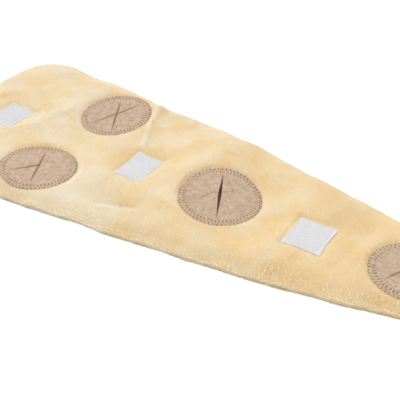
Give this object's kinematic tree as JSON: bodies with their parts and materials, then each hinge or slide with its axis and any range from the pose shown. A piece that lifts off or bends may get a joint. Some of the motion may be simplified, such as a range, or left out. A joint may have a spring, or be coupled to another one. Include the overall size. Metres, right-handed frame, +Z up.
{
  "type": "plush snuffle mat",
  "caption": "Long tapered pad of short-pile plush, lying unrolled, with felt discs slit crosswise as treat pockets and squares of hook tape that keep it rolled up.",
  "frame": {"origin": "on the floor, under the middle of the mat's box", "axes": "+X along the mat from the broad end to the tip, +Y across it towards the far long edge, +Z up"},
  "size_m": [0.572, 0.2132, 0.0203],
  "materials": {
    "plush": "short soft pile, pale yellow, brushed into lighter and warmer patches",
    "felt": "heathered beige felt with zigzag stitching round the rim",
    "hook_tape": "white hook tape, fine even hooks"
  },
  "bodies": {
    "root": {"plush_mat": "plush", "felt_pocket_near": "felt", "felt_pocket_far": "felt", "felt_pocket_middle": "felt", "felt_pocket_tip": "felt", "hook_tape_broad": "hook_tape", "hook_tape_middle": "hook_tape", "hook_tape_tip": "hook_tape"}
  },
  "joints": []
}
